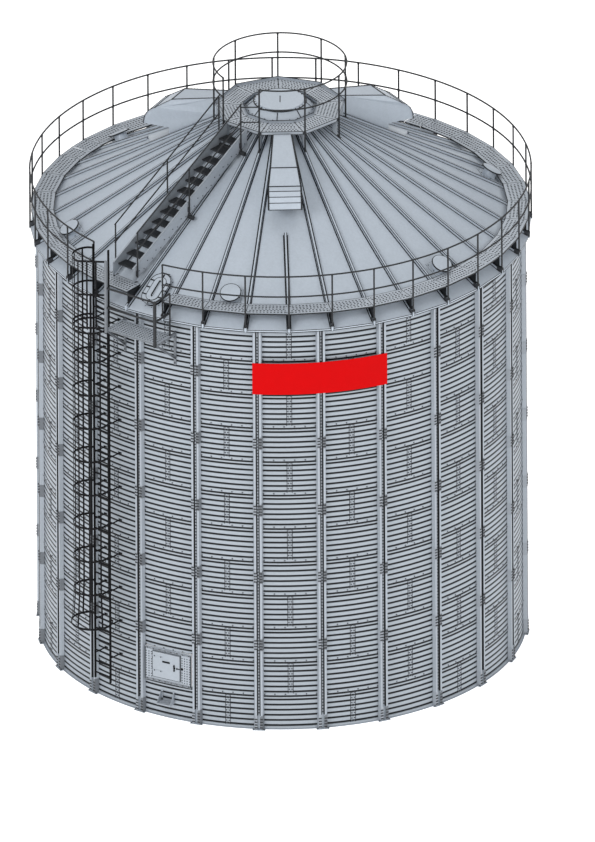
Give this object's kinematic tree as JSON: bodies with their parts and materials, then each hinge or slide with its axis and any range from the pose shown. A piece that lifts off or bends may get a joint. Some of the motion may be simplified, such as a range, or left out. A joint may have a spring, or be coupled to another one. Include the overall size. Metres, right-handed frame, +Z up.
{
  "type": "grain silo",
  "caption": "Round bolted steel grain silo with a ribbed cone roof, walkway and guard at the eave, roof stair, crown platform, hoods, caged ladder and a side door.",
  "frame": {"origin": "on the silo's axis at ground level, under the feet of the stiffeners", "axes": "+Z up; -Y out through the side door; +X to the right when facing the door"},
  "size_m": [11.45, 12.1618, 14.1961],
  "materials": {
    "wall_steel": "galvanised, satin",
    "roof_steel": "galvanised, satin",
    "frame_steel": "galvanised, satin",
    "grating": "galvanised, perforated",
    "dark_steel": "dull dark",
    "red_panel": "satin red"
  },
  "bodies": {
    "structure": {"crown_lid": "frame_steel", "door_frame": "frame_steel", "door_step": "grating", "eave_guard_1": "frame_steel", "eave_guard_2": "frame_steel", "eave_guard_3": "frame_steel", "eave_guard_4": "frame_steel", "exhaust_hood_1": "roof_steel", "exhaust_hood_2": "roof_steel", "exhaust_hood_3": "roof_steel", "ladder": "dark_steel", "ladder_cage": "dark_steel", "plain_panel": "red_panel", "rest_platform": "grating", "rest_platform_guard": "frame_steel", "roof_collar": "roof_steel", "roof_hatch": "roof_steel", "roof_sector_1": "roof_steel", "roof_sector_2": "roof_steel", "roof_sector_3": "roof_steel", "roof_sector_4": "roof_steel", "roof_sector_5": "roof_steel", "roof_sector_6": "roof_steel", "roof_stairs": "grating", "roof_vent_1": "frame_steel", "roof_vent_2": "frame_steel", "roof_vent_3": "frame_steel", "roof_vent_4": "frame_steel", "roof_vent_5": "frame_steel", "roof_vent_6": "frame_steel", "stair_handrail_left": "frame_steel", "stair_handrail_right": "frame_steel", "stiffeners_back": "frame_steel", "stiffeners_front": "frame_steel", "stiffeners_left": "frame_steel", "stiffeners_right": "frame_steel", "top_guard": "frame_steel", "top_platform": "grating", "walkway_1": "grating", "walkway_2": "grating", "walkway_3": "grating", "walkway_4": "grating", "wall_above_door": "wall_steel", "wall_below_door": "wall_steel", "wall_segment_1": "wall_steel", "wall_segment_2": "wall_steel", "wall_segment_3": "wall_steel", "wall_segment_4": "wall_steel", "wall_segment_5": "wall_steel", "wall_segment_6": "wall_steel"},
    "door": {"door_leaf": "roof_steel"}
  },
  "joints": [
    {"name": "side_door_hinge", "type": "hinge", "parent": "structure", "child": "door", "pos_m": [-0.405, -5.544, 0.965], "axis": [0, 0, -1], "range_deg": [0, 110]}
  ]
}
